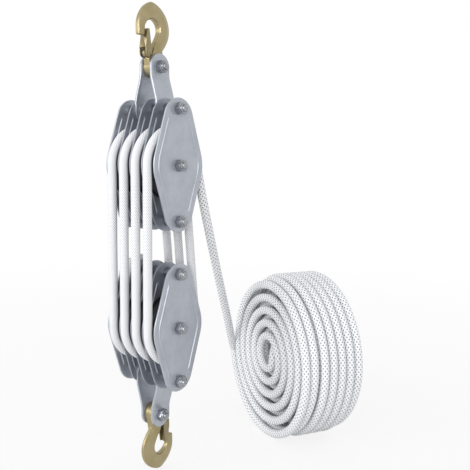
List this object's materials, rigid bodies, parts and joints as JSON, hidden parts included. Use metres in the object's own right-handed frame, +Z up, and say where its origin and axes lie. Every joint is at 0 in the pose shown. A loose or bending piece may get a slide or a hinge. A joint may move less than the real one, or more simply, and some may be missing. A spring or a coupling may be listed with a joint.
{
  "type": "block and tackle",
  "caption": "Block and tackle: two multi-sheave steel blocks with latched eye hooks, reeved with white braided rope, its spare length in a coil.",
  "frame": {"origin": "seat in the crown of the upper hook's bowl, where the tackle hangs", "axes": "+Z up along the tackle, Y along the axles with the nuts on the -Y side, -X toward the upper hook's mouth"},
  "size_m": [0.328, 0.2298, 0.5396],
  "materials": {
    "zinc_sheet": "zinc-plated pressed sheet",
    "zinc_fastener": "bright zinc-plated fasteners and tubes",
    "hook_steel": "pale yellow-passivated steel",
    "sheave_steel": "plain rolled steel",
    "spring_steel": "bare spring wire",
    "rope_fibre": "white braided synthetic rope with small grey flecks"
  },
  "bodies": {
    "upper_block": {"upper_cheek_back": "zinc_sheet", "upper_divider_1": "zinc_sheet", "upper_divider_2": "zinc_sheet", "upper_divider_3": "zinc_sheet", "upper_cheek_front": "zinc_sheet", "upper_tail_spacer_1": "zinc_fastener", "upper_tail_spacer_2": "zinc_fastener", "upper_tail_spacer_3": "zinc_fastener", "upper_tail_spacer_4": "zinc_fastener", "upper_axle_sleeve": "zinc_fastener", "upper_axle_bolt": "zinc_fastener", "upper_axle_nut": "zinc_fastener", "upper_tail_bolt": "zinc_fastener", "upper_tail_nut": "zinc_fastener", "upper_head_bolt": "zinc_fastener", "upper_head_nut": "zinc_fastener", "upper_strap_back": "zinc_sheet", "upper_strap_front": "zinc_sheet", "upper_hook_bolt": "zinc_fastener", "upper_hook_nut": "zinc_fastener", "reeved_rope": "rope_fibre", "hauling_part": "rope_fibre", "rope_coil": "rope_fibre", "coil_core": "rope_fibre"},
    "upper_hook": {"upper_hook": "hook_steel", "upper_latch_pin": "hook_steel"},
    "upper_latch": {"upper_latch": "hook_steel", "upper_latch_spring": "spring_steel"},
    "upper_sheave_1": {"upper_sheave_1": "sheave_steel"},
    "upper_sheave_2": {"upper_sheave_2": "sheave_steel"},
    "upper_sheave_3": {"upper_sheave_3": "sheave_steel"},
    "upper_sheave_4": {"upper_sheave_4": "sheave_steel"},
    "lower_block": {"lower_cheek_back": "zinc_sheet", "lower_divider_1": "zinc_sheet", "lower_divider_2": "zinc_sheet", "lower_divider_3": "zinc_sheet", "lower_cheek_front": "zinc_sheet", "lower_tail_spacer_1": "zinc_fastener", "lower_tail_spacer_2": "zinc_fastener", "lower_tail_spacer_3": "zinc_fastener", "lower_tail_spacer_4": "zinc_fastener", "lower_axle_sleeve": "zinc_fastener", "lower_axle_bolt": "zinc_fastener", "lower_axle_nut": "zinc_fastener", "lower_tail_bolt": "zinc_fastener", "lower_tail_nut": "zinc_fastener", "lower_head_bolt": "zinc_fastener", "lower_head_nut": "zinc_fastener", "lower_strap_back": "zinc_sheet", "lower_strap_front": "zinc_sheet", "lower_hook_bolt": "zinc_fastener", "lower_hook_nut": "zinc_fastener"},
    "lower_hook": {"lower_hook": "hook_steel", "lower_latch_pin": "hook_steel"},
    "lower_latch": {"lower_latch": "hook_steel", "lower_latch_spring": "spring_steel"},
    "lower_sheave_1": {"lower_sheave_1": "sheave_steel"},
    "lower_sheave_2": {"lower_sheave_2": "sheave_steel"},
    "lower_sheave_3": {"lower_sheave_3": "sheave_steel"},
    "lower_sheave_4": {"lower_sheave_4": "sheave_steel"}
  },
  "joints": [
    {"name": "upper_hook_swing", "type": "hinge", "parent": "upper_block", "child": "upper_hook", "pos_m": [0.0059, 0, -0.051], "axis": [0, 1, 0], "range_deg": [-70, 70]},
    {"name": "upper_latch_pivot", "type": "hinge", "parent": "upper_hook", "child": "upper_latch", "pos_m": [-0.0076, 0, -0.037], "axis": [0, 1, 0], "range_deg": [0, 34], "stiffness_Nm_per_rad": 0.02, "springref_deg": -68.75},
    {"name": "lower_block_travel", "type": "slide", "parent": "upper_block", "child": "lower_block", "axis": [0, 0, 1], "range_m": [-2, 0.025], "deforming": ["reeved_rope"]},
    {"name": "lower_hook_swing", "type": "hinge", "parent": "lower_block", "child": "lower_hook", "pos_m": [0.0059, 0, -0.4512], "axis": [0, 1, 0], "range_deg": [-70, 70]},
    {"name": "lower_latch_pivot", "type": "hinge", "parent": "lower_hook", "child": "lower_latch", "pos_m": [0.0194, 0, -0.4652], "axis": [0, 1, 0], "range_deg": [0, 34], "stiffness_Nm_per_rad": 0.02, "springref_deg": -68.75},
    {"name": "upper_sheave_1_spin", "type": "hinge", "parent": "upper_block", "child": "upper_sheave_1", "pos_m": [0.0059, 0, -0.1595], "axis": [0, 1, 0], "continuous": true},
    {"name": "upper_sheave_2_spin", "type": "hinge", "parent": "upper_block", "child": "upper_sheave_2", "pos_m": [0.0059, 0, -0.1595], "axis": [0, 1, 0], "continuous": true},
    {"name": "upper_sheave_3_spin", "type": "hinge", "parent": "upper_block", "child": "upper_sheave_3", "pos_m": [0.0059, 0, -0.1595], "axis": [0, 1, 0], "continuous": true},
    {"name": "upper_sheave_4_spin", "type": "hinge", "parent": "upper_block", "child": "upper_sheave_4", "pos_m": [0.0059, 0, -0.1595], "axis": [0, 1, 0], "continuous": true},
    {"name": "lower_sheave_1_spin", "type": "hinge", "parent": "lower_block", "child": "lower_sheave_1", "pos_m": [0.0059, 0, -0.3427], "axis": [0, 1, 0], "continuous": true},
    {"name": "lower_sheave_2_spin", "type": "hinge", "parent": "lower_block", "child": "lower_sheave_2", "pos_m": [0.0059, 0, -0.3427], "axis": [0, 1, 0], "continuous": true},
    {"name": "lower_sheave_3_spin", "type": "hinge", "parent": "lower_block", "child": "lower_sheave_3", "pos_m": [0.0059, 0, -0.3427], "axis": [0, 1, 0], "continuous": true},
    {"name": "lower_sheave_4_spin", "type": "hinge", "parent": "lower_block", "child": "lower_sheave_4", "pos_m": [0.0059, 0, -0.3427], "axis": [0, 1, 0], "continuous": true}
  ],
  "couplings": [
    {"joint": "upper_sheave_1_spin", "follows": "lower_block_travel", "rad_per_m": 25.253},
    {"joint": "upper_sheave_2_spin", "follows": "lower_block_travel", "rad_per_m": 75.758},
    {"joint": "upper_sheave_3_spin", "follows": "lower_block_travel", "rad_per_m": 126.26},
    {"joint": "upper_sheave_4_spin", "follows": "lower_block_travel", "rad_per_m": 176.77},
    {"joint": "lower_sheave_2_spin", "follows": "lower_block_travel", "rad_per_m": 50.505},
    {"joint": "lower_sheave_3_spin", "follows": "lower_block_travel", "rad_per_m": 101.01},
    {"joint": "lower_sheave_4_spin", "follows": "lower_block_travel", "rad_per_m": 151.52}
  ]
}
